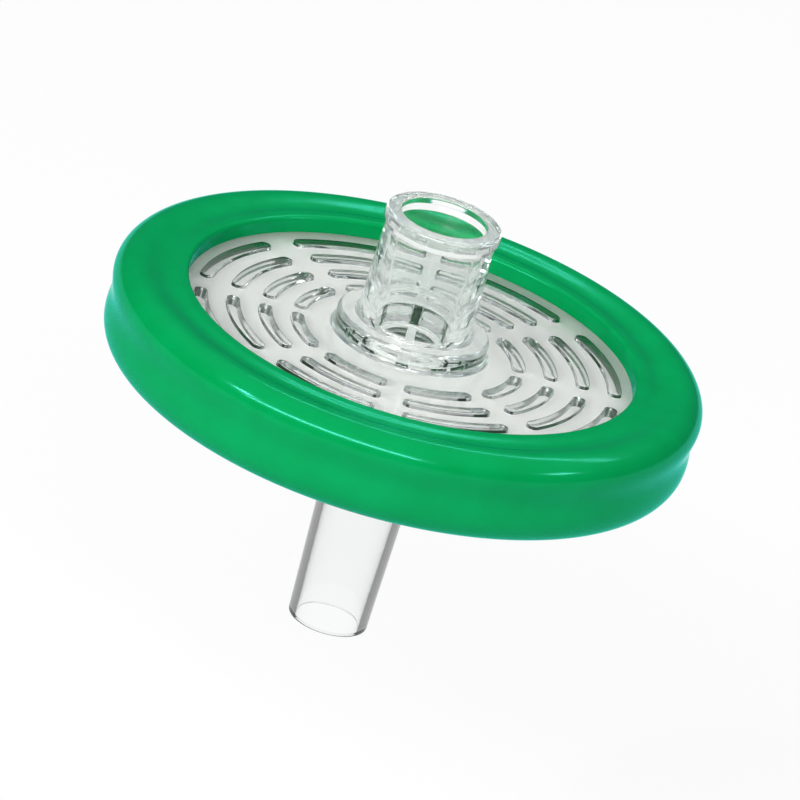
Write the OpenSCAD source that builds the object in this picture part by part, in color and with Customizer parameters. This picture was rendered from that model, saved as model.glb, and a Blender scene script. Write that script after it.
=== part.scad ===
// Syringe filter: two moulded plates with Luer ends hold a prefilter and a membrane, and a moulded ring
// seals their rims. Lengths are in millimetres. The origin is the centre of the inlet's mouth, +Z points
// out of the inlet, and the flow runs down along -Z.

/* [Filter discs] */
// Diameter of the prefilter and of the membrane
filter_d = 25; // [20:0.5:40]
// Thickness of the prefilter, the upper disc
prefilter_t = 0.3; // [0.2:0.05:0.4]
// Thickness of the membrane, the lower disc
membrane_t = 0.15; // [0.1:0.05:0.3]

/* [Plates] */
// Width of the plates' rim outside the discs
rim_w = 1.7; // [1.2:0.1:3]
// Thickness of each plate
plate_t = 1.4; // [1.3:0.1:2.4]

/* [Slots in the plates' wet faces] */
// Width of each arc slot
slot_w = 0.65; // [0.4:0.05:1]
// Distance between one row of slots and the next
slot_pitch = 1.61; // [1.3:0.01:3]
// Slots in each row
slot_count = 8; // [4:1:12]
// Angle of the bare rib between two slots of a row, in degrees
slot_gap_angle = 9; // [5:1:15]
// Plastic left above the inlet plate's slots
inlet_slot_back_t = 0.4; // [0.3:0.05:0.6]
// Depth of the outlet plate's slots
outlet_slot_depth = 0.7; // [0.4:0.05:0.9]
// Turn of the outlet plate's slots against the inlet plate's, in degrees
outlet_turn = -12; // [-20:1:20]

/* [Inlet, a Luer socket] */
// Diameter of the socket at its mouth
mouth_d = 4.3; // [4.2:0.05:4.5]
// Height of the tube above the plate
tube_h = 6.6; // [6:0.1:9]
// Wall of the tube at its mouth
tube_wall = 0.57; // [0.5:0.01:1]
// How much wider the tube's radius is at its foot
tube_draft = 0.1; // [0:0.05:0.3]
// How far the rounded bead at the mouth stands out
bead_out = 0.16; // [0.1:0.02:0.3]
// Height of the bead
bead_h = 0.7; // [0.5:0.1:1.2]
// How far the socket's floor lies below the plate's top face
floor_drop = 0.3; // [0.1:0.05:0.35]
// Width of the round step at the tube's foot
foot_w = 0.98; // [0.7:0.02:1.5]
// Height of that step
foot_h = 0.95; // [0.7:0.05:1.5]
// Diameter of the inlet port in the socket's floor
inlet_port_d = 3; // [2.4:0.1:3.6]
// Width of the cross that guards the inlet port
port_cross_w = 0.5; // [0.3:0.05:0.7]

/* [Outlet, a Luer tip] */
// Diameter of the tip at its end
tip_d = 3.96; // [3.9:0.01:4.05]
// Length of the tip below the plate
tip_len = 12.7; // [10:0.1:16]
// Wall of the tip
tip_wall = 0.4; // [0.35:0.05:0.8]
// Gap between the tip and the collar round its root
collar_gap = 0.34; // [0.3:0.02:0.8]
// Wall of the collar
collar_wall = 0.5; // [0.4:0.05:1]
// Height of the collar
collar_h = 2.85; // [2:0.05:5]
// Thickness of the four ribs between the tip and the collar
collar_rib_t = 0.5; // [0.4:0.05:0.9]
// Height of those ribs
collar_rib_h = 1.8; // [1:0.1:1.9]

/* [Ring] */
// How far the ring's lips reach in over the plates
lip_w = 3; // [2.5:0.1:4]
// Thickness of the lips
lip_t = 0.85; // [0.6:0.05:1.5]
// Wall of the ring outside the plates
ring_wall = 0.55; // [0.4:0.05:1.2]
// How much narrower the ring's lower bead is than its upper one, in radius
lower_bead_in = 0.1; // [0:0.02:0.3]
// Depth of the shallow waist between the two beads
waist_d = 0.12; // [0:0.01:0.2]
// Width of the rounded shoulder above the upper bead
shoulder_w = 1.2; // [0.9:0.05:1.6]
// Height of the shoulder's crest above the lip
crest_h = 0.1; // [0:0.02:0.2]
// Depth of the valley between the crest and the lip
valley_d = 0.1; // [0:0.01:0.15]
// Width of the rounded heel below the lower bead
heel_w = 1.35; // [1:0.05:1.8]

/* [Hidden] */
$fn = 96;
// Fall of a Luer cone's radius for each millimetre of its length, which is a 6 per cent taper
luer_slope = 0.03;
// Room around the discs in their pocket
pocket_gap = 0.15;
// Bare plastic between a slot and the foot, the collar or the ring's lip
slot_margin = 0.5;
// How much a slot's round ends stand out of its sides, so that the two cross cleanly
slot_end_relief = 0.005;
// Height of the shoulder's start below, and of the heel's start above, the plates' outer corners
shoulder_drop = 0.2;
heel_rise = 0.55;
// Radii of the small moulded fillets
lip_fillet = 0.22;
foot_fillet = 0.25;
mouth_fillet = 0.2;
tip_fillet = 0.12;
// Chamfer of the bore at the tip's end
tip_chamfer = 0.12;
// How far the collar and its ribs run up into the plate
collar_root = plate_t / 2;
// Overshoot of cuts, so that no face is left as a skin
cut = 1;

stack_t = prefilter_t + membrane_t;
pocket_r = filter_d / 2 + pocket_gap;
plate_r = filter_d / 2 + rim_w;
plate_top_z = -tube_h;
parting_z = plate_top_z - plate_t;
plate_bottom_z = parting_z - plate_t;
pocket_top_z = parting_z + stack_t;
tip_z = plate_bottom_z - tip_len;

mouth_r = mouth_d / 2;
tube_top_r = mouth_r + tube_wall;
tube_foot_r = tube_top_r + tube_draft;
foot_r = tube_foot_r + foot_w;
socket_depth = tube_h + floor_drop;

tip_r = tip_d / 2;
bore_r = tip_r - tip_wall;
root_r = tip_r + luer_slope * tip_len;
collar_in_r = root_r + collar_gap;
collar_r = collar_in_r + collar_wall;

lip_r = plate_r - lip_w;
ring_r = plate_r + ring_wall;
ring_half_h = plate_t + lip_t;
slot_out_r = lip_r - slot_margin - slot_w / 2;
slot_in_r = max(foot_r, collar_r) + slot_margin + slot_w / 2;
slot_rows = floor((slot_out_r - slot_in_r) / slot_pitch) + 1;

// Points of an elliptical arc about centre c, with half axes a and b, from angle t0 to t1
function arc(c, a, b, t0, t1, n = 12) =
    [for (i = [0:n]) let (t = t0 + (t1 - t0) * i / n) c + [a * cos(t), b * sin(t)]];

// Points of a smooth S-shaped step from p to q, level at both ends, without p itself
function step_to(p, q, n = 8) =
    [for (i = [1:n]) let (t = i / n)
        [p.x + (q.x - p.x) * t, p.y + (q.y - p.y) * (1 - cos(180 * t)) / 2]];

// Points of a wall from p up to q that is drawn in by depth halfway up, without its two ends
function waist(p, q, depth, n = 10) =
    [for (i = [1:n - 1]) let (t = i / n) p + (q - p) * t - [depth * pow(sin(180 * t), 2), 0]];

// Plan of one arc slot on the X axis: a ring's sector with a round at each end
module slot_plan(r) {
    span = 360 / slot_count - slot_gap_angle - 2 * asin(slot_w / 2 / r);
    reach = r + slot_w;
    intersection() {
        difference() {
            circle(r = r + slot_w / 2);
            circle(r = r - slot_w / 2);
        }
        polygon([[0, 0], [reach, -reach * tan(span / 2)], [reach, reach * tan(span / 2)]]);
    }
    for (side = [-1, 1])
        rotate(side * span / 2)
            translate([r, 0])
                circle(r = slot_w / 2 + slot_end_relief);
}

// All slots of one plate, cut depth deep from height z upwards
module slots(z, depth) {
    for (row = [0:slot_rows - 1], i = [0:slot_count - 1])
        translate([0, 0, z])
            rotate((i + 0.5) * 360 / slot_count)
                linear_extrude(depth)
                    slot_plan(slot_out_r - row * slot_pitch);
}

// Outside of the inlet housing, turned about Z: plate, foot, drafted tube and rounded mouth
module inlet_outside() {
    bead_r = tube_top_r + bead_out;
    foot_top_z = plate_top_z + foot_h;
    rotate_extrude()
        polygon(concat(
            [[0, parting_z], [plate_r, parting_z], [plate_r, plate_top_z]],
            arc([foot_r + foot_fillet, plate_top_z + foot_fillet], foot_fillet, foot_fillet, 270, 180, 5),
            arc([foot_r - foot_fillet, foot_top_z - foot_fillet], foot_fillet, foot_fillet, 0, 90, 5),
            arc([tube_foot_r + foot_fillet, foot_top_z + foot_fillet], foot_fillet, foot_fillet, 270, 180, 5),
            step_to([tube_top_r, -bead_h - bead_out], [bead_r, -bead_h + bead_out], 5),
            arc([bead_r - mouth_fillet, -mouth_fillet], mouth_fillet, mouth_fillet, 0, 90, 5),
            [[0, 0]]
        ));
}

// Cross-guarded port through the socket's floor
module inlet_port() {
    floor_z = -socket_depth;
    translate([0, 0, pocket_top_z - cut])
        linear_extrude(floor_z - pocket_top_z + 2 * cut)
            difference() {
                circle(d = inlet_port_d);
                square([inlet_port_d + cut, port_cross_w], center = true);
                square([port_cross_w, inlet_port_d + cut], center = true);
            }
}

// Upper plate with the Luer socket, the discs' pocket and the slots that spread the flow
module inlet_housing() color([0.86, 0.9, 0.9, 0.45])
    difference() {
        inlet_outside();
        translate([0, 0, -socket_depth])
            cylinder(r1 = mouth_r - luer_slope * socket_depth, r2 = mouth_r, h = socket_depth);
        translate([0, 0, parting_z - cut])
            cylinder(r = pocket_r, h = stack_t + cut);
        inlet_port();
        slots(pocket_top_z - cut, plate_t - stack_t - inlet_slot_back_t + cut);
    }

// Coarse white disc that meets the flow first
module prefilter() color([0.95, 0.95, 0.93])
    translate([0, 0, pocket_top_z - prefilter_t])
        cylinder(d = filter_d, h = prefilter_t);

// Fine white disc that lies on the outlet plate
module membrane() color([0.97, 0.97, 0.96])
    translate([0, 0, parting_z])
        cylinder(d = filter_d, h = membrane_t);

// Moulded ring: a C section whose lips hold both plates' rims
module overmould_ring() color([0, 0.6, 0.32])
    translate([0, 0, parting_z])
        rotate_extrude()
            difference() {
                ring_section();
                translate([0, -plate_t])
                    square([plate_r, 2 * plate_t]);
            }

// Outline of the ring's section before its groove is cut, with z = 0 at the parting plane
module ring_section() {
    upper_bead = [ring_r, plate_t - shoulder_drop];
    lower_bead = [ring_r - lower_bead_in, heel_rise - plate_t];
    shoulder_c = [ring_r - shoulder_w, upper_bead.y];
    heel_c = [lower_bead.x - heel_w, lower_bead.y];
    crest = [shoulder_c.x, ring_half_h + crest_h];
    valley = [(lip_r + crest.x) / 2, ring_half_h - valley_d];
    lip_edge = [lip_r + 2 * lip_fillet, ring_half_h];
    polygon(concat(
        arc([lip_r + lip_fillet, lip_fillet - ring_half_h], lip_fillet, lip_fillet, 180, 270, 6),
        arc(heel_c, heel_w, ring_half_h + heel_c.y, 270, 360),
        waist(lower_bead, upper_bead, waist_d),
        arc(shoulder_c, shoulder_w, crest.y - shoulder_c.y, 0, 90),
        step_to(crest, valley),
        step_to(valley, lip_edge),
        arc([lip_r + lip_fillet, ring_half_h - lip_fillet], lip_fillet, lip_fillet, 90, 180, 6)
    ));
}

// Outside of the tip and plate of the outlet housing, turned about Z
module outlet_outside() {
    rotate_extrude()
        polygon(concat(
            [[0, tip_z]],
            arc([tip_r - tip_fillet, tip_z + tip_fillet], tip_fillet, tip_fillet, 270, 360, 5),
            [[root_r, plate_bottom_z], [plate_r, plate_bottom_z], [plate_r, parting_z], [0, parting_z]]
        ));
}

// Collar round the tip's root, tied to it by four ribs, and both run up into the plate
module collar() {
    translate([0, 0, plate_bottom_z - collar_h])
        difference() {
            cylinder(r = collar_r, h = collar_h + collar_root);
            translate([0, 0, -cut])
                cylinder(r = collar_in_r, h = collar_h + collar_root + 2 * cut);
        }
    for (i = [0:3])
        rotate(45 + 90 * i)
            translate([root_r - tip_wall / 2, -collar_rib_t / 2, plate_bottom_z - collar_rib_h])
                cube([collar_gap + tip_wall / 2 + collar_wall / 2, collar_rib_t, collar_rib_h + collar_root]);
}

// Lower plate with the slots that gather the flow, the ribbed collar and the Luer tip
module outlet_housing() color([0.86, 0.9, 0.9, 0.45])
    difference() {
        union() {
            outlet_outside();
            collar();
        }
        translate([0, 0, tip_z])
            cylinder(r1 = bore_r, r2 = bore_r + luer_slope * (parting_z - tip_z), h = parting_z - tip_z);
        translate([0, 0, tip_z])
            cylinder(r1 = bore_r + tip_chamfer, r2 = bore_r, h = tip_chamfer);
        rotate(outlet_turn)
            slots(parting_z - outlet_slot_depth, outlet_slot_depth + cut);
    }

inlet_housing();
prefilter();
membrane();
overmould_ring();
outlet_housing();
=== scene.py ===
# %% [markdown]
# # A syringe filter
# A syringe filter is a flat disc that cleans the liquid pushed through it. Two clear moulded plates hold
# a coarse white prefilter and a fine white membrane between them, and a glossy green ring is moulded round
# the plates' rims to seal them. The syringe goes into the socket on top, and the liquid leaves through the
# long tip below. This lesson loads the measured solids first, and then dresses them piece by piece.

# %% Load the measured model
import math

import bmesh
import bpy
import numpy as np
from mathutils import Matrix, Vector


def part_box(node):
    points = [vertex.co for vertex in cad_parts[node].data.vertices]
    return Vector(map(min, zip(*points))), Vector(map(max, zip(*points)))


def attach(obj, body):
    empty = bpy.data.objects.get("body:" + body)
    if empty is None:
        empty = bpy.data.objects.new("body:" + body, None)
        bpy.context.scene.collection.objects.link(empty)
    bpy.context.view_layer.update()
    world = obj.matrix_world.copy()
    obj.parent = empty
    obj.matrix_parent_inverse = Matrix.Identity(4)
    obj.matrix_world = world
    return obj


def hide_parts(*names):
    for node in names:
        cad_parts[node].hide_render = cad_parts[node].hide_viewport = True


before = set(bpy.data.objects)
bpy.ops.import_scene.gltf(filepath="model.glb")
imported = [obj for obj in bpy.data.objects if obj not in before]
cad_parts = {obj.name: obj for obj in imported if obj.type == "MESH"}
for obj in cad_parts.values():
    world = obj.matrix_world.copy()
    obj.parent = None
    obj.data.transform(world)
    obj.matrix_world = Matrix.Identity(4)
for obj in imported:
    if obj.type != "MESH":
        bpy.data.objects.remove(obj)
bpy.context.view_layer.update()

print("nodes:", sorted(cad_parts))

# %% [markdown]
# ## Sizes
# The solids give every outer size: the plates' and discs' radius, the heights of the faces, the ring's radius
# and top and the tip's end. Only the details that a box can't tell, such as a wall or a fillet, are typed in.
# All lengths are in millimetres, because a part this small is easier to read that way, and the mesh builder
# turns them into metres at the very end.

# %% Sizes from the solids, in millimetres
MM = 0.001


def extent(node):
    """Half width and lowest and highest level of a node of the solid model, in millimetres."""
    low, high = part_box(node)
    return high.x / MM, low.z / MM, high.z / MM


PLATE_R, PARTING_Z, MOUTH_Z = extent("inlet_housing")
_, TIP_Z, _ = extent("outlet_housing")
RING_R, _, RING_HIGH_Z = extent("overmould_ring")
DISC_R, PREFILTER_LOW_Z, POCKET_Z = extent("prefilter")
_, _, MEMBRANE_HIGH_Z = extent("membrane")
PLATE_T = 1.4
PLATE_TOP_Z = PARTING_Z + PLATE_T
PLATE_LOW_Z = PARTING_Z - PLATE_T
POCKET_GAP = 0.15
POCKET_R = DISC_R + POCKET_GAP
TAPER_SLOPE = 0.03
print(f"plates {2 * PLATE_R:.1f} mm across, ring {2 * RING_R:.1f} mm, tip at {TIP_Z:.1f} mm")

# %% [markdown]
# ## The camera
# The view looks down on the filter by about 23 degrees, with its axis leaning to the right. A long lens from
# half a metre away keeps the circles nearly free of perspective. The lens is worked out from the share of the
# picture that the ring should fill, so the framing follows the part's real size.

# %% Camera
CAMERA_ELEVATION = math.radians(23.3)
CAMERA_ROLL = math.radians(16.4)
CAMERA_DISTANCE = 508 * MM
CAMERA_NEAR = 10 * MM
RING_SHARE = 0.76
AIM_Z = 0.5 * (TIP_Z + MOUTH_Z) * MM
AIM_SHIFT = Vector((0.0004, 0, 0.0012))

away = Vector((0, -math.cos(CAMERA_ELEVATION), math.sin(CAMERA_ELEVATION)))
camera_data = bpy.data.cameras.new("camera")
camera_data.lens = camera_data.sensor_width * RING_SHARE * CAMERA_DISTANCE / (2 * RING_R * MM)
camera_data.clip_start = CAMERA_NEAR
camera = bpy.data.objects.new("camera", camera_data)
camera.location = Vector((0, 0, AIM_Z)) + AIM_SHIFT + CAMERA_DISTANCE * away
roll = Matrix.Rotation(CAMERA_ROLL, 4, "Z").to_quaternion()
camera.rotation_euler = (away.to_track_quat("Z", "Y") @ roll).to_euler()
bpy.context.scene.collection.objects.link(camera)
bpy.context.scene.camera = camera
print(f"lens {camera_data.lens:.0f} mm")

# %% [markdown]
# ## From arrays to a mesh
# Every piece here is either turned on a lathe in thought, which is a profile carried round the axis, or a
# profile carried round a slot's outline. Both give a grid of points, so one builder serves for all: it lays
# the grids side by side, welds the points that fall on each other, and turns the faces outwards. Welding is
# what makes the clear plastic one closed body, without which light would not bend through it properly.

# %% Mesh builder
WELD = 1e-6
SHARP_ANGLE = math.radians(35)


def grid_faces(rows, columns, first):
    """Corner numbers of a grid's four-sided faces, whose columns close into a loop, counted from first."""
    row = np.arange(rows - 1)[:, None] * columns
    column = np.arange(columns)
    after = (column + 1) % columns
    return first + np.stack([row + column, row + after, row + columns + after, row + columns + column],
                            axis=-1).reshape(-1, 4)


def build(name, sheets):
    """Joins sheets, each an array of rows by columns by xyz in millimetres, into one closed, smooth piece."""
    firsts = np.cumsum([0] + [sheet.shape[0] * sheet.shape[1] for sheet in sheets])
    points = np.concatenate([sheet.reshape(-1, 3) for sheet in sheets]) * MM
    faces = np.concatenate([grid_faces(*sheet.shape[:2], first) for sheet, first in zip(sheets, firsts)])
    mesh = bpy.data.meshes.new(name)
    mesh.from_pydata(points, [], faces)
    welded = bmesh.new()
    welded.from_mesh(mesh)
    bmesh.ops.remove_doubles(welded, verts=welded.verts, dist=WELD)
    bmesh.ops.recalc_face_normals(welded, faces=welded.faces)
    open_edges = sum(not edge.is_manifold for edge in welded.edges)
    welded.to_mesh(mesh)
    welded.free()
    mesh.polygons.foreach_set("use_smooth", np.ones(len(mesh.polygons), bool))
    mesh.set_sharp_from_angle(angle=SHARP_ANGLE)
    piece = bpy.data.objects.new(name, mesh)
    bpy.context.scene.collection.objects.link(piece)
    weighted = piece.modifiers.new("weighted_normals", "WEIGHTED_NORMAL")
    weighted.keep_sharp = True
    print(f"{name}: {len(mesh.polygons)} faces, {open_edges} open edges")
    return piece


# %% [markdown]
# ## Profiles
# A moulded part has hardly one true corner: the steel that shaped it was rounded where it had to let go of
# the plastic. So a profile is written as straight stretches, arcs and S-shaped steps, each a short formula.

# %% Profile helpers
ARC_STEPS = 10
EASE_STEPS = 14
EDGE_STEPS = 4


def arc(centre, half_r, half_z, start, end, steps=ARC_STEPS):
    """Elliptical arc: centre plus half axes times cosine and sine of an angle from start to end degrees."""
    angle = np.radians(np.linspace(start, end, steps + 1))
    return np.column_stack([centre[0] + half_r * np.cos(angle), centre[1] + half_z * np.sin(angle)])


def ease(start, end, steps=EASE_STEPS):
    """S-shaped step: r runs evenly, and z follows half a cosine wave, so it is level at both ends."""
    t = np.linspace(0, 1, steps + 1)[:, None]
    lift = (1 - np.cos(math.pi * t)) / 2
    (r0, z0), (r1, z1) = start, end
    return np.hstack([r0 + (r1 - r0) * t, z0 + (z1 - z0) * lift])


def profile(*stretches):
    """Stretches, each one point or an array of points in r and z, laid end to end."""
    return np.vstack([np.atleast_2d(np.asarray(stretch, float)) for stretch in stretches])


def turned(outline, angles):
    """Profile turned about Z: radius r and height z become r cos a, r sin a and z for each angle a."""
    r, z = outline[:, :1], outline[:, 1:]
    return np.dstack([r * np.cos(angles), r * np.sin(angles), np.broadcast_to(z, r.shape) + 0 * angles])


# %% [markdown]
# ## The slots that spread the flow
# Each plate has four rows of eight arc slots in the face that meets the discs. A slot is a groove carried
# round a stadium that is bent along a circle. So the groove's section is written once, as distance from the
# slot's middle line against depth, and swept round the outline. Past the groove's rim the sweep goes on flat
# until it meets the edge of its own cell, a sector of the plate that tiles with its neighbours. A boolean cut
# would do it too, but it leaves long thin triangles, which show as streaks in clear plastic.

# %% Slots
SLOT_COUNT = 8
SLOT_ROWS = 4
SLOT_W = 0.65
SLOT_PITCH = 1.61
SLOT_GAP = math.radians(9)
SLOT_RIM_FILLET = 0.03
SLOT_FLOOR_FILLET = 0.03
SLOT_FLOOR_STEPS = 5
SLOT_APRON = 3 * SLOT_RIM_FILLET
RING_LIP_W = 3.0
SLOT_MARGIN = 0.5
SLOT_OUT_R = PLATE_R - RING_LIP_W - SLOT_MARGIN - SLOT_W / 2
CELL_STEPS = 32
END_STEPS = 10
COLUMNS = SLOT_COUNT * CELL_STEPS
CELL_ANGLE = 2 * math.pi / SLOT_COUNT
SLOTS_OUTER_R = SLOT_OUT_R + SLOT_PITCH / 2
SLOTS_INNER_R = SLOT_OUT_R - (SLOT_ROWS - 0.5) * SLOT_PITCH


def polar(radius, angle, height):
    """Points at a radius, an angle and a height, as an array of xyz."""
    return np.stack(np.broadcast_arrays(radius * np.cos(angle), radius * np.sin(angle), height), axis=-1)


def slot_sheet(radius, middle, face_z, floor_z):
    """One slot and its cell, from the cell's edge to the slot's middle line.

    Round the outline, the place along the middle line runs to and fro, and the way out from it turns by half
    a turn at each end. A point is the middle line's point plus the distance from it times the way out.
    """
    into = math.copysign(1, floor_z - face_z)
    half_span = (CELL_ANGLE - SLOT_GAP) / 2 - math.asin(SLOT_W / 2 / radius)
    there = np.linspace(-1, 1, CELL_STEPS, endpoint=False)
    turn = np.linspace(0, math.pi, END_STEPS, endpoint=False)
    along = np.concatenate([there, np.ones(END_STEPS), -there, -np.ones(END_STEPS)])
    out = np.concatenate([0 * there, turn, 0 * there + math.pi, turn + math.pi])
    side = np.concatenate([0 * there + 1, 1 - 2 * turn / math.pi, 0 * there - 1, 2 * turn / math.pi - 1])
    groove = profile(
        [SLOT_W / 2 + SLOT_APRON, 0],
        arc([SLOT_W / 2 + SLOT_RIM_FILLET, SLOT_RIM_FILLET],
            SLOT_RIM_FILLET, SLOT_RIM_FILLET, 270, 180, EDGE_STEPS),
        arc([SLOT_W / 2 - SLOT_FLOOR_FILLET, abs(floor_z - face_z) - SLOT_FLOOR_FILLET],
            SLOT_FLOOR_FILLET, SLOT_FLOOR_FILLET, 0, 90, SLOT_FLOOR_STEPS),
        [0, abs(floor_z - face_z)],
    )
    distance, depth = groove[:, :1], groove[:, 1:]
    angle = middle + along * half_span
    x = radius * np.cos(angle) + distance * np.cos(angle + out)
    y = radius * np.sin(angle) + distance * np.sin(angle + out)
    swept = np.stack(np.broadcast_arrays(x, y, face_z + into * depth), axis=-1)
    edge = polar(radius + side * SLOT_PITCH / 2, middle + along * CELL_ANGLE / 2, face_z)
    return np.concatenate([edge[None], swept])


def slot_sheets(turn, face_z, floor_z):
    """All the slots of one plate, turned by an angle."""
    return [slot_sheet(SLOT_OUT_R - row * SLOT_PITCH, turn + (k + 0.5) * CELL_ANGLE, face_z, floor_z)
            for row in range(SLOT_ROWS) for k in range(SLOT_COUNT)]


print("slot rows at radii of", [round(SLOT_OUT_R - row * SLOT_PITCH, 2) for row in range(SLOT_ROWS)], "mm")


# %% [markdown]
# ## The inlet housing
# The upper plate and its socket are one moulding. From the outside in, its turned skin runs from the pocket
# for the discs round the plate's rim, over the stepped foot, up the tube with its slight draft, round the
# bead at the mouth and down the tapered socket. A cross in the socket's floor guards the port, so that part
# of the skin is four quarter openings, each a loop between its own outline and a quarter of the floor.

# %% Inlet housing
GAP = 0.02
MOUTH_R = 2.15
TUBE_WALL = 0.57
TUBE_DRAFT = 0.1
TUBE_TOP_R = MOUTH_R + TUBE_WALL
TUBE_FOOT_R = TUBE_TOP_R + TUBE_DRAFT
BEAD_OUT = 0.16
BEAD_R = TUBE_TOP_R + BEAD_OUT
BEAD_H = 0.7
BEAD_STEPS = 10
FOOT_W = 0.98
FOOT_H = 0.95
FOOT_R = TUBE_FOOT_R + FOOT_W
FOOT_TOP_Z = PLATE_TOP_Z + FOOT_H
FOOT_FILLET = 0.25
MOUTH_FILLET = 0.2
LIP_FILLET = 0.1
LIP_STEPS = 6
FLOOR_SINK = 0.3
FLOOR_Z = PLATE_TOP_Z - FLOOR_SINK
FLOOR_R = MOUTH_R - TAPER_SLOPE * (MOUTH_Z - FLOOR_Z)
FLOOR_FILLET = 0.12
PORT_R = 1.5
PORT_QUARTERS = 4
CROSS_W = 0.5
PORT_CELL_R = FLOOR_R - FLOOR_FILLET
RIM_EDGE = 0.06
POCKET_EDGE = 0.05
INLET_SLOT_BACK_T = 0.4
INLET_SLOT_Z = PLATE_TOP_Z - INLET_SLOT_BACK_T


def inlet_skin():
    """Turned skin of the inlet housing, from the slots' outer edge round the outside to the socket floor."""
    low = PARTING_Z + GAP
    return profile(
        [SLOTS_OUTER_R, POCKET_Z], [POCKET_R - POCKET_EDGE, POCKET_Z], [POCKET_R, POCKET_Z], [POCKET_R, low],
        arc([PLATE_R - RIM_EDGE, low + RIM_EDGE], RIM_EDGE, RIM_EDGE, 270, 360, EDGE_STEPS),
        arc([PLATE_R - RIM_EDGE, PLATE_TOP_Z - RIM_EDGE], RIM_EDGE, RIM_EDGE, 0, 90, EDGE_STEPS),
        arc([FOOT_R + FOOT_FILLET, PLATE_TOP_Z + FOOT_FILLET], FOOT_FILLET, FOOT_FILLET, 270, 180),
        arc([FOOT_R - FOOT_FILLET, FOOT_TOP_Z - FOOT_FILLET], FOOT_FILLET, FOOT_FILLET, 0, 90),
        arc([TUBE_FOOT_R + FOOT_FILLET, FOOT_TOP_Z + FOOT_FILLET], FOOT_FILLET, FOOT_FILLET, 270, 180),
        ease([TUBE_TOP_R, -BEAD_H - BEAD_OUT], [BEAD_R, -BEAD_H + BEAD_OUT], BEAD_STEPS),
        arc([BEAD_R - MOUTH_FILLET, MOUTH_Z - MOUTH_FILLET], MOUTH_FILLET, MOUTH_FILLET, 0, 90),
        arc([MOUTH_R + LIP_FILLET, MOUTH_Z - LIP_FILLET], LIP_FILLET, LIP_FILLET, 90, 180, LIP_STEPS),
        arc([FLOOR_R - FLOOR_FILLET, FLOOR_Z + FLOOR_FILLET], FLOOR_FILLET, FLOOR_FILLET, 0, -90, LIP_STEPS),
    )


def port_sheet(quarter):
    """Quarter of the guarded port, from the socket's floor down through the opening to the pocket's ceiling.

    The floor's quarter is bounded by two radii and an arc. The opening has the same three sides, drawn in
    to the cross and to the port's radius. Both are walked by the same steps, so each pair of points makes a
    strip.
    """
    steps = COLUMNS // PORT_QUARTERS
    half = CROSS_W / 2
    out = np.linspace(0, 1, END_STEPS, endpoint=False)
    share = np.linspace(0, 1, steps, endpoint=False)
    reach = math.sqrt(PORT_R ** 2 - half ** 2)
    inner = math.asin(half / PORT_R)
    sweep = inner + (math.pi / 2 - 2 * inner) * share
    cell = np.concatenate([np.column_stack([out, 0 * out]),
                           np.column_stack([np.cos(share * math.pi / 2), np.sin(share * math.pi / 2)]),
                           np.column_stack([0 * out, 1 - out])]) * PORT_CELL_R
    hole = np.concatenate([np.column_stack([half + (reach - half) * out, half + 0 * out]),
                           PORT_R * np.column_stack([np.cos(sweep), np.sin(sweep)]),
                           np.column_stack([half + 0 * out, reach + (half - reach) * out])])
    turn = quarter * math.pi / 2
    spin = np.array([[math.cos(turn), math.sin(turn)], [-math.sin(turn), math.cos(turn)]])
    levels = [(cell, FLOOR_Z), (hole, FLOOR_Z), (hole, POCKET_Z), (cell, POCKET_Z)]
    return np.stack([np.column_stack([flat @ spin, np.full(len(flat), z)]) for flat, z in levels])


around = np.arange(COLUMNS) * 2 * math.pi / COLUMNS
inlet = build("inlet_moulding", [
    turned(inlet_skin(), around),
    turned(profile([PORT_CELL_R, POCKET_Z], [SLOTS_INNER_R, POCKET_Z]), around),
    *slot_sheets(0, POCKET_Z, INLET_SLOT_Z),
    *[port_sheet(quarter) for quarter in range(PORT_QUARTERS)],
])
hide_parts("inlet_housing")
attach(inlet, "root")

# %% [markdown]
# ## The outlet housing
# The lower plate is the same idea turned over, with a long tapered tip. A short collar stands round the tip's
# root and keeps it from snapping off, and four small ribs tie the two together. The ribs need no boolean:
# they are places round the circle where the groove between tip and collar is shallower, so the skin there
# simply stops at the ribs' level.

# %% Outlet housing
OUTLET_TURN = math.radians(-12)
OUTLET_SLOT_DEPTH = 0.7
OUTLET_SLOT_Z = PARTING_Z - OUTLET_SLOT_DEPTH
TIP_R = 1.98
TIP_WALL = 0.4
TIP_FILLET = 0.12
TIP_CHAMFER = 0.12
ROOT_R = TIP_R + TAPER_SLOPE * (PLATE_LOW_Z - TIP_Z)
COLLAR_GAP = 0.34
COLLAR_WALL = 0.5
COLLAR_H = 2.85
COLLAR_IN_R = ROOT_R + COLLAR_GAP
COLLAR_R = COLLAR_IN_R + COLLAR_WALL
COLLAR_Z = PLATE_LOW_Z - COLLAR_H
COLLAR_EDGE = 0.1
COLLAR_STEPS = 5
RIB_H = 1.8
RIB_Z = PLATE_LOW_Z - RIB_H
RIB_W = 0.5
BORE_R = TIP_R - TIP_WALL
PORT_MOUTH_R = BORE_R + TAPER_SLOPE * (PARTING_Z - TIP_Z)


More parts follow.
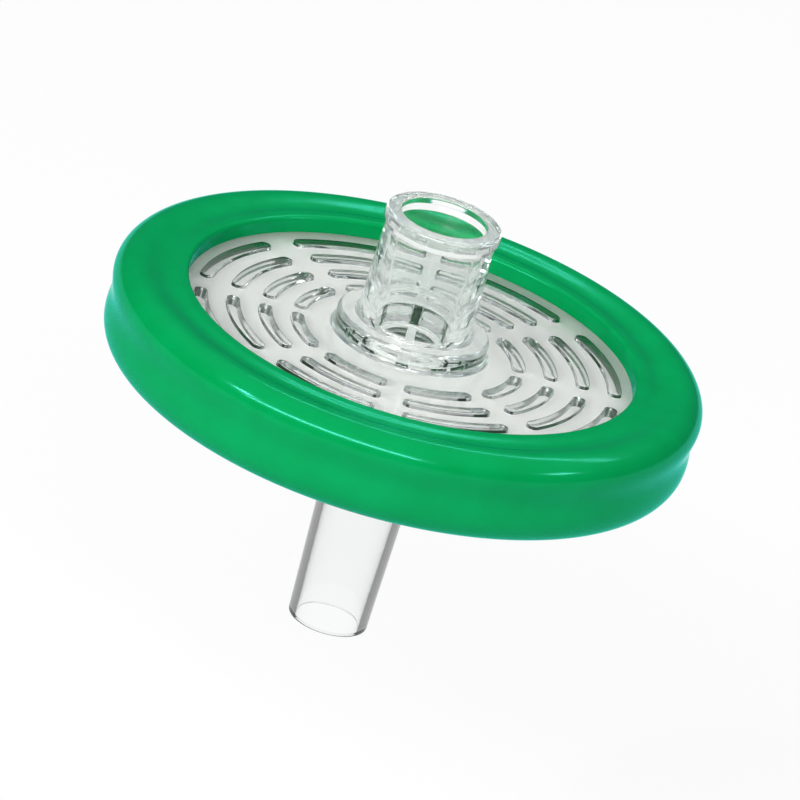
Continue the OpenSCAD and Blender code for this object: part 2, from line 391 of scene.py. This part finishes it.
def outlet_outside():
    """Turned skin from the slots' outer edge round the plate's rim and the collar to the ribs' level."""
    return profile(
        [SLOTS_OUTER_R, PARTING_Z],
        arc([PLATE_R - RIM_EDGE, PARTING_Z - RIM_EDGE], RIM_EDGE, RIM_EDGE, 90, 0, EDGE_STEPS),
        arc([PLATE_R - RIM_EDGE, PLATE_LOW_Z + RIM_EDGE], RIM_EDGE, RIM_EDGE, 0, -90, EDGE_STEPS),
        [COLLAR_R + COLLAR_EDGE, PLATE_LOW_Z], [COLLAR_R, PLATE_LOW_Z - COLLAR_EDGE],
        arc([COLLAR_R - COLLAR_EDGE, COLLAR_Z + COLLAR_EDGE],
            COLLAR_EDGE, COLLAR_EDGE, 0, -90, COLLAR_STEPS),
        arc([COLLAR_IN_R + COLLAR_EDGE, COLLAR_Z + COLLAR_EDGE],
            COLLAR_EDGE, COLLAR_EDGE, 270, 180, COLLAR_STEPS),
        [COLLAR_IN_R, RIB_Z],
    )


def collar_groove(angles):
    """Skin of the groove between tip and collar, which stays at the ribs' level where a rib stands."""
    root_low_r = TIP_R + TAPER_SLOPE * (RIB_Z - TIP_Z)
    groove = turned(profile([COLLAR_IN_R, RIB_Z], [COLLAR_IN_R, PLATE_LOW_Z], [ROOT_R, PLATE_LOW_Z],
                            [root_low_r, RIB_Z]), angles)
    from_rib = np.abs((angles % (math.pi / 2)) - math.pi / 4)
    ribbed = from_rib < RIB_W / (ROOT_R + COLLAR_IN_R)
    groove[:, ribbed, 2] = RIB_Z
    return groove


def outlet_inside():
    """Turned skin from the ribs' level down the tip, round its end and up the bore to the slots."""
    return profile(
        [TIP_R + TAPER_SLOPE * (RIB_Z - TIP_Z), RIB_Z],
        arc([TIP_R - TIP_FILLET, TIP_Z + TIP_FILLET], TIP_FILLET, TIP_FILLET, 0, -90, LIP_STEPS),
        [BORE_R + TIP_CHAMFER, TIP_Z], [BORE_R, TIP_Z + TIP_CHAMFER],
        [PORT_MOUTH_R, PARTING_Z], [SLOTS_INNER_R, PARTING_Z],
    )


outlet_around = OUTLET_TURN + around
outlet = build("outlet_moulding", [
    turned(outlet_outside(), outlet_around),
    collar_groove(outlet_around),
    turned(outlet_inside(), outlet_around),
    *slot_sheets(OUTLET_TURN, PARTING_Z, OUTLET_SLOT_Z),
])
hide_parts("outlet_housing")
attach(outlet, "root")

# %% [markdown]
# ## The discs
# Both discs are cut from sheet, so their edges are square with only a trace of rounding. They are kept a
# hair's breadth off the plastic: two surfaces in exactly the same place would fight over every ray.

# %% Prefilter and membrane
DISC_EDGE = 0.05
DISC_ROWS = 12


def disc_skin(radius, low, high):
    """Closed section of a disc from the axis over its top, round its edge and back under it to the axis."""
    spread = np.linspace(0, radius - DISC_EDGE, DISC_ROWS, endpoint=False)
    return profile(
        np.column_stack([spread, np.full(DISC_ROWS, high)]),
        arc([radius - DISC_EDGE, high - DISC_EDGE], DISC_EDGE, DISC_EDGE, 90, 0, EDGE_STEPS),
        arc([radius - DISC_EDGE, low + DISC_EDGE], DISC_EDGE, DISC_EDGE, 0, -90, EDGE_STEPS),
        np.column_stack([spread[::-1], np.full(DISC_ROWS, low)]),
    )


prefilter_skin = disc_skin(DISC_R, PREFILTER_LOW_Z + GAP / 2, POCKET_Z - GAP)
prefilter = build("prefilter_disc", [turned(prefilter_skin, around)])
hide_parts("prefilter")
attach(prefilter, "root")

membrane_skin = disc_skin(DISC_R, PARTING_Z + GAP, MEMBRANE_HIGH_Z - GAP / 2)
membrane = build("membrane_disc", [turned(membrane_skin, around)])
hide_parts("membrane")
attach(membrane, "root")

# %% [markdown]
# ## The overmoulded ring
# The ring is one section turned about the axis: a C that grips both plates. Outside it has a round shoulder
# with a faint crest and a valley behind it, two beads with a shallow waist between them, and a rounder heel
# below. Each is an arc, an ease or a sine, so the highlights run along it without a kink. Its groove bites a
# hair's breadth into the plates, as the real one does where it was moulded onto them.

# %% Ring
LIP_R = PLATE_R - RING_LIP_W
LIP_FILLET_R = 0.22
SKIN_IN = 0.005
SHOULDER_W = 1.2
SHOULDER_DROP = 0.2
HEEL_W = 1.35
HEEL_RISE = 0.55
LOWER_BEAD_IN = 0.1
WAIST_D = 0.12
WAIST_STEPS = 33
ROUND_STEPS = 24
CREST_H = 0.1
VALLEY_D = 0.1


def ring_skin():
    """Closed section of the ring, from its lower lip round the outside, over the upper lip and the groove."""
    half_h = RING_HIGH_Z - CREST_H - PARTING_Z
    outside_r = RING_R - SKIN_IN
    upper = np.array([outside_r, PLATE_T - SHOULDER_DROP])
    lower = np.array([outside_r - LOWER_BEAD_IN, HEEL_RISE - PLATE_T])
    shoulder = np.array([outside_r - SHOULDER_W, upper[1]])
    heel = np.array([lower[0] - HEEL_W, lower[1]])
    crest = np.array([shoulder[0], half_h + CREST_H])
    valley = np.array([(LIP_R + crest[0]) / 2, half_h - VALLEY_D])
    lip_edge = np.array([LIP_R + 2 * LIP_FILLET_R, half_h])
    t = np.linspace(0, 1, WAIST_STEPS)[1:-1, None]
    waist = lower + (upper - lower) * t - WAIST_D * np.hstack([np.sin(math.pi * t) ** 2, 0 * t])
    groove_r, groove_h = PLATE_R - GAP, PLATE_T - GAP
    section = profile(
        arc([LIP_R + LIP_FILLET_R, LIP_FILLET_R - half_h], LIP_FILLET_R, LIP_FILLET_R, 180, 270),
        arc(heel, HEEL_W, half_h + heel[1], 270, 360, ROUND_STEPS),
        waist,
        arc(shoulder, SHOULDER_W, crest[1] - shoulder[1], 0, 90, ROUND_STEPS),
        ease(crest, valley), ease(valley, lip_edge),
        arc([LIP_R + LIP_FILLET_R, half_h - LIP_FILLET_R], LIP_FILLET_R, LIP_FILLET_R, 90, 180),
        [LIP_R, groove_h], [groove_r, groove_h], [groove_r, -groove_h], [LIP_R, -groove_h],
        [LIP_R, LIP_FILLET_R - half_h],
    )
    return section + [0, PARTING_Z]


ring = build("ring_moulding", [turned(ring_skin(), around)])
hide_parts("overmould_ring")
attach(ring, "root")

# %% [markdown]
# ## Writing materials as sums
# Blender's materials are graphs, but most of what a finish needs is arithmetic. The class below wraps a
# node's output, so that `1 - mask` or `noise * 0.02 + 0.1` adds the Math nodes by itself. Every other node
# comes from one method that takes its kind, its settings and what goes into its sockets.

# %% Shader helpers
class Wire:
    """An output socket that can be added and multiplied, and taken away from a number."""

    def __init__(self, finish, socket):
        self.finish = finish
        self.socket = socket

    def _math(self, operation, first, second):
        return self.finish.node("ShaderNodeMath", {"operation": operation}, {0: first, 1: second})

    def __add__(self, other):
        return self._math("ADD", self, other)

    def __rsub__(self, other):
        return self._math("SUBTRACT", other, self)

    def __mul__(self, other):
        return self._math("MULTIPLY", self, other)

    __radd__ = __add__
    __rmul__ = __mul__


class Finish:
    """A material or the world, built from nodes."""

    def __init__(self, owner):
        self.owner = owner
        owner.use_nodes = True
        self.tree = owner.node_tree
        self.tree.nodes.clear()

    def node(self, kind, settings=None, inputs=None, output=0):
        """Adds a node, sets it up, joins or sets its sockets, and gives back one output as a Wire."""
        made = self.tree.nodes.new(kind)
        for key, value in (settings or {}).items():
            if key == "stops":
                self._set_stops(made.color_ramp, value)
            else:
                setattr(made, key, value)
        for key, value in (inputs or {}).items():
            if isinstance(value, Wire):
                self.tree.links.new(value.socket, made.inputs[key])
            else:
                made.inputs[key].default_value = value
        return Wire(self, made.outputs[output]) if made.outputs else made

    def _set_stops(self, ramp, stops):
        while len(ramp.elements) < len(stops):
            ramp.elements.new(0.5)
        for element, (position, colour) in zip(ramp.elements, stops):
            element.position = position
            element.color = (*colour, 1)

    def noise(self, scale, detail=3, roughness=0.5, stretch=(1, 1, 1), turn=0):
        """Noise over the piece's own coordinates, turned about Z, with its scale given per millimetre."""
        place = self.node("ShaderNodeTexCoord", output="Object")
        turned_place = self.node("ShaderNodeVectorRotate", {"rotation_type": "Z_AXIS"},
                                 {"Vector": place, "Angle": turn})
        sized = self.node("ShaderNodeVectorMath", {"operation": "MULTIPLY"},
                          {0: turned_place, 1: [scale / MM * s for s in stretch]})
        return self.node("ShaderNodeTexNoise", None,
                         {"Vector": sized, "Scale": 1, "Detail": detail, "Roughness": roughness})

    def bump(self, height, depth, normal=None):
        """Bump whose height, from 0 to 1, stands for a depth in millimetres."""
        inputs = {"Height": height, "Distance": depth * MM, "Strength": 1}
        if normal is not None:
            inputs["Normal"] = normal
        return self.node("ShaderNodeBump", None, inputs)


def material(name):
    """A new, empty material."""
    return Finish(bpy.data.materials.new(name))


# %% [markdown]
# ## Clear moulded plastic
# The housings are a clear styrene-like plastic with a faint cool grey tint. Thin walls of it look nearly
# colourless, but light that runs along a wall or a plate comes out greyer, so the tint is an absorption
# inside the body. The skin carries a very fine waviness from the mould. A lamp's light can't be traced
# through refracting walls without bright specks, so a ray on its way to a lamp goes straight through and is
# only weakened: that lights the sheets under the plates softly.

# %% Clear plastic
PLASTIC_COLOUR = (0.99, 1, 0.995, 1)
PLASTIC_IOR = 1.49
PLASTIC_WAVE_SCALE = 0.6
PLASTIC_WAVE_DEPTH = 0.003
PLASTIC_GRAIN_SCALE = 9
PLASTIC_GRAIN_DEPTH = 0.0003
HAZE_LEAST = 0.004
HAZE_SPREAD = 0.012
PLASTIC_ABSORBS = (0.62, 0.74, 0.74, 1)
PLASTIC_DENSITY = 60
PLASTIC_PASSES = (0.6, 0.61, 0.61, 1)


def clear_plastic():
    """Refracting plastic: smooth skin with a little haze, and absorption inside."""
    finish = material("clear_plastic")
    wave = finish.noise(PLASTIC_WAVE_SCALE, detail=2)
    grain = finish.noise(PLASTIC_GRAIN_SCALE, detail=2)
    normal = finish.bump(grain, PLASTIC_GRAIN_DEPTH, finish.bump(wave, PLASTIC_WAVE_DEPTH))
    haze = grain * HAZE_SPREAD + HAZE_LEAST
    surface = finish.node("ShaderNodeBsdfPrincipled", None, {
        "Base Color": PLASTIC_COLOUR, "Roughness": haze, "IOR": PLASTIC_IOR,
        "Transmission Weight": 1, "Normal": normal})
    inside = finish.node("ShaderNodeVolumeAbsorption", None,
                         {"Color": PLASTIC_ABSORBS, "Density": PLASTIC_DENSITY})
    lamp_ray = finish.node("ShaderNodeLightPath", output="Is Shadow Ray")
    let_through = finish.node("ShaderNodeBsdfTransparent", None, {"Color": PLASTIC_PASSES})
    skin = finish.node("ShaderNodeMixShader", None, {0: lamp_ray, 1: surface, 2: let_through})
    finish.node("ShaderNodeOutputMaterial", None, {"Surface": skin, "Volume": inside})
    return finish.owner


clear = clear_plastic()
inlet.data.materials.append(clear)
outlet.data.materials.append(clear)
print(f"{clear.name}: {len(clear.node_tree.nodes)} nodes")

# %% [markdown]
# ## White filter sheet
# The prefilter is a felt of fine fibres and the membrane a smoother porous sheet. Both are a warm off-white
# and quite matt. Noise that is drawn out one way and then the other reads as lying fibres.

# %% Filter sheets
FIBRE_TURNS = [math.radians(turn) for turn in (8, 47, 101, 152)]
FIBRE_STRETCH = (0.2, 1, 1)
FIBRE_DETAIL = 4
FIBRE_ROUGHNESS = 0.6
MOTTLE_SCALE = 0.35
DARKEST = 0.9
SHEET_ROUGHNESS = 0.9
SHEET_GLOSS = 0.2


def filter_sheet(name, colour, fibre_depth, fibre_scale):
    """Matt fibrous white: layers of drawn-out noise, each turned another way, and a faint mottle."""
    finish = material(name)
    fibres = 0
    for turn in FIBRE_TURNS:
        layer = finish.noise(fibre_scale, FIBRE_DETAIL, FIBRE_ROUGHNESS, FIBRE_STRETCH, turn)
        fibres = layer * (1 / len(FIBRE_TURNS)) + fibres
    mottle = finish.noise(MOTTLE_SCALE)
    darker = [DARKEST * c for c in colour]
    shade = finish.node("ShaderNodeMix", {"data_type": "RGBA", "blend_type": "MIX"}, {
        "Factor": (mottle + fibres) * 0.5, 6: (*darker, 1), 7: (*colour, 1)}, output=2)
    surface = finish.node("ShaderNodeBsdfPrincipled", None, {
        "Base Color": shade, "Roughness": SHEET_ROUGHNESS, "Specular IOR Level": SHEET_GLOSS,
        "Normal": finish.bump(fibres, fibre_depth)})
    finish.node("ShaderNodeOutputMaterial", None, {"Surface": surface})
    return finish.owner


felt = filter_sheet("prefilter_felt", colour=(0.93, 0.92, 0.89), fibre_depth=0.05, fibre_scale=6)
fine_sheet = filter_sheet("membrane_sheet", colour=(0.92, 0.92, 0.9), fibre_depth=0.01, fibre_scale=14)
prefilter.data.materials.append(felt)
membrane.data.materials.append(fine_sheet)
for sheet in (prefilter, membrane):
    print(f"{sheet.active_material.name}: {len(sheet.active_material.node_tree.nodes)} nodes")

# %% [markdown]
# ## Glossy green plastic
# The ring is a solid, saturated green with a soft gloss. Plain glossy plastic mirrors the white floor, which
# washes a deep green out, so only an eighth of this finish is plain plastic. The rest is a matt green body
# and over it a gleam that grows towards grazing angles, as it does on any smooth plastic, but is tinted: its
# highlights and its rim look cyan. The lines of light are broad and soft, so the skin isn't quite polished.
# A faint mottle in the green stands for the way the plastic flowed round the mould.

# %% Ring plastic
RING_GREEN = (0.0, 0.35, 0.087, 1)
RING_DEEP_GREEN = (0.0, 0.275, 0.058, 1)
RING_GLEAM = (0.03, 0.94, 0.88, 1)
RING_IOR = 1.46
RING_WAVE_SCALE = 0.5
RING_WAVE_DEPTH = 0.01
RING_GRAIN_SCALE = 6
RING_GRAIN_DEPTH = 0.0008
GLOSS_LEAST = 0.13
GLOSS_SPREAD = 0.06
BODY_ROUGHNESS = 0.5
TINTED_SHARE = 0.88


def ring_plastic():
    """Glossy opaque plastic: an eighth plain, and a matt body under a tinted gleam in Fresnel's share."""
    finish = material("ring_green")
    wave = finish.noise(RING_WAVE_SCALE, detail=2)
    grain = finish.noise(RING_GRAIN_SCALE)
    normal = finish.bump(grain, RING_GRAIN_DEPTH, finish.bump(wave, RING_WAVE_DEPTH))
    gloss = grain * GLOSS_SPREAD + GLOSS_LEAST
    green = finish.node("ShaderNodeMix", {"data_type": "RGBA", "blend_type": "MIX"}, {
        "Factor": wave, 6: RING_DEEP_GREEN, 7: RING_GREEN}, output=2)
    plain = finish.node("ShaderNodeBsdfPrincipled", None, {
        "Base Color": green, "Roughness": gloss, "IOR": RING_IOR, "Normal": normal})
    body = finish.node("ShaderNodeBsdfPrincipled", None, {
        "Base Color": green, "Roughness": BODY_ROUGHNESS, "Specular IOR Level": 0, "Normal": normal})
    gleam = finish.node("ShaderNodeBsdfPrincipled", None, {
        "Base Color": RING_GLEAM, "Metallic": 1, "Specular Tint": RING_GLEAM,
        "Roughness": gloss, "Normal": normal})
    share = finish.node("ShaderNodeFresnel", None, {"IOR": RING_IOR})
    tinted = finish.node("ShaderNodeMixShader", None, {0: share, 1: body, 2: gleam})
    surface = finish.node("ShaderNodeMixShader", None, {0: TINTED_SHARE, 1: plain, 2: tinted})
    finish.node("ShaderNodeOutputMaterial", None, {"Surface": surface})
    return finish.owner


ring.data.materials.append(ring_plastic())
print(f"{ring.active_material.name}: {len(ring.active_material.node_tree.nodes)} nodes")

# %% [markdown]
# ## Studio
# Clear plastic has hardly a colour of its own: it shows what stands round it. The floor is a wide pale sheet
# that looks white to the eye, in reflections and through the plastic, and still takes the part's shadow. It
# bounces less light than it seems to, so the ring's underside stays deep, and from below it isn't there.
# The room is a soft grey that brightens upward, and it too looks white through the plastic. In a place that
# is white all round glass would vanish, so light that was mirrored inside a wall on its way, and so left it
# sideways, finds floor and room dimmer, as at the dark sides of a real studio. That draws the walls' edges.
# Light is mirrored many times inside a clear plate before it leaves, so its paths may be long: cut short,
# they would show as black. Four soft panels light the object. The long one in front leaves the line along
# the ring's shoulder, the one behind does the same at the far side, and the small ones leave two glints.

# %% Floor, world and lamps
FLOOR_DROP = 14
FLOOR_HALF = 4.0
FLOOR_LIFT = 0.85
FLOOR_GREY = 0.7
FLOOR_WHITE = 1.0
FLOOR_DIMMING = 0.75
ROOM_DIMMING = 0.5
ROOM_SHADES = [(0.0, (0.17, 0.18, 0.19)), (0.45, (0.21, 0.22, 0.23)), (0.8, (0.62, 0.62, 0.62))]
PANEL_DISTANCE = 300
MOST_BOUNCES = 32
MIRRORED_BOUNCES = 16
THROUGH_BOUNCES = 24


def make_floor():
    """A wide plane under the part: mostly a plain white glow, and a matt share that takes the shadow."""
    corners = np.array([[-1, -1, 0], [1, -1, 0], [1, 1, 0], [-1, 1, 0]]) * FLOOR_HALF
    corners[:, 2] = (TIP_Z - FLOOR_DROP) * MM
    mesh = bpy.data.meshes.new("floor")
    mesh.from_pydata(corners, [], [(0, 1, 2, 3)])
    floor = bpy.data.objects.new("floor", mesh)
    bpy.context.scene.collection.objects.link(floor)
    finish = material("pale_floor")
    camera_ray, glossy_ray, bent_ray, mirrored = [
        finish.node("ShaderNodeLightPath", output=name)
        for name in ("Is Camera Ray", "Is Glossy Ray", "Is Transmission Ray", "Glossy Depth")]
    sideways = finish.node("ShaderNodeMath", {"operation": "MINIMUM"}, {0: mirrored, 1: 1.0})
    paint = camera_ray * (FLOOR_WHITE - FLOOR_GREY) + FLOOR_GREY
    plain = finish.node("ShaderNodeBsdfDiffuse", None, {"Color": paint})
    white = finish.node("ShaderNodeEmission", None, {
        "Color": (1, 1, 1, 1), "Strength": 1 - bent_ray * sideways * FLOOR_DIMMING})
    seen = camera_ray + glossy_ray + bent_ray
    top = finish.node("ShaderNodeMixShader", None, {0: seen * FLOOR_LIFT, 1: plain, 2: white})
    from_below = finish.node("ShaderNodeNewGeometry", output="Backfacing")
    nothing = finish.node("ShaderNodeBsdfTransparent")
    both = finish.node("ShaderNodeMixShader", None, {0: from_below, 1: top, 2: nothing})
    finish.node("ShaderNodeOutputMaterial", None, {"Surface": both})
    mesh.materials.append(finish.owner)


def make_world():
    """A soft grey room that brightens upward, and that looks white through clear plastic."""
    world = bpy.data.worlds.new("studio")
    bpy.context.scene.world = world
    finish = Finish(world)
    direction = finish.node("ShaderNodeTexCoord", output="Generated")
    up = finish.node("ShaderNodeSeparateXYZ", None, {0: direction}, output="Z")
    room = finish.node("ShaderNodeValToRGB", {"stops": ROOM_SHADES}, {0: up})
    bent_ray, scattered, mirrored = [
        finish.node("ShaderNodeLightPath", output=name)
        for name in ("Is Transmission Ray", "Diffuse Depth", "Glossy Depth")]
    once = finish.node("ShaderNodeMath", {"operation": "MINIMUM"}, {0: scattered, 1: 1.0})
    sideways = finish.node("ShaderNodeMath", {"operation": "MINIMUM"}, {0: mirrored, 1: 1.0})
    glow = finish.node("ShaderNodeBackground", None, {"Color": room, "Strength": 1})
    white = finish.node("ShaderNodeBackground", None, {
        "Color": (1, 1, 1, 1), "Strength": 1 - sideways * ROOM_DIMMING})
    both = finish.node("ShaderNodeMixShader", None, {0: bent_ray * (1 - once), 1: glow, 2: white})
    finish.node("ShaderNodeOutputWorld", None, {"Surface": both})


def add_panel(name, direction, width, height, power):
    """A soft rectangular lamp that looks at the part from a direction, with its sizes in millimetres."""
    data = bpy.data.lights.new(name, "AREA")
    data.shape = "RECTANGLE"
    data.size = width * MM
    data.size_y = height * MM
    data.energy = power
    lamp = bpy.data.objects.new(name, data)
    way = Vector(direction).normalized()
    lamp.location = Vector((0, 0, PARTING_Z * MM)) + way * PANEL_DISTANCE * MM
    lamp.rotation_euler = way.to_track_quat("Z", "Y").to_euler()
    bpy.context.scene.collection.objects.link(lamp)


make_floor()
make_world()
add_panel("key", (-0.35, -1.0, 0.75), width=360, height=28, power=0.8)
add_panel("back", (0.25, 0.65, 0.8), width=240, height=10, power=0.1)
add_panel("right", (0.9, -0.2, 0.6), width=50, height=10, power=0.08)
add_panel("left", (-0.87, -0.5, 0.75), width=24, height=12, power=0.12)
bpy.context.scene.view_settings.view_transform = "Standard"
light_paths = bpy.context.scene.cycles
light_paths.max_bounces = MOST_BOUNCES
light_paths.glossy_bounces = MIRRORED_BOUNCES
light_paths.transmission_bounces = THROUGH_BOUNCES
print("four lamps, and paths of up to", light_paths.max_bounces, "bounces")
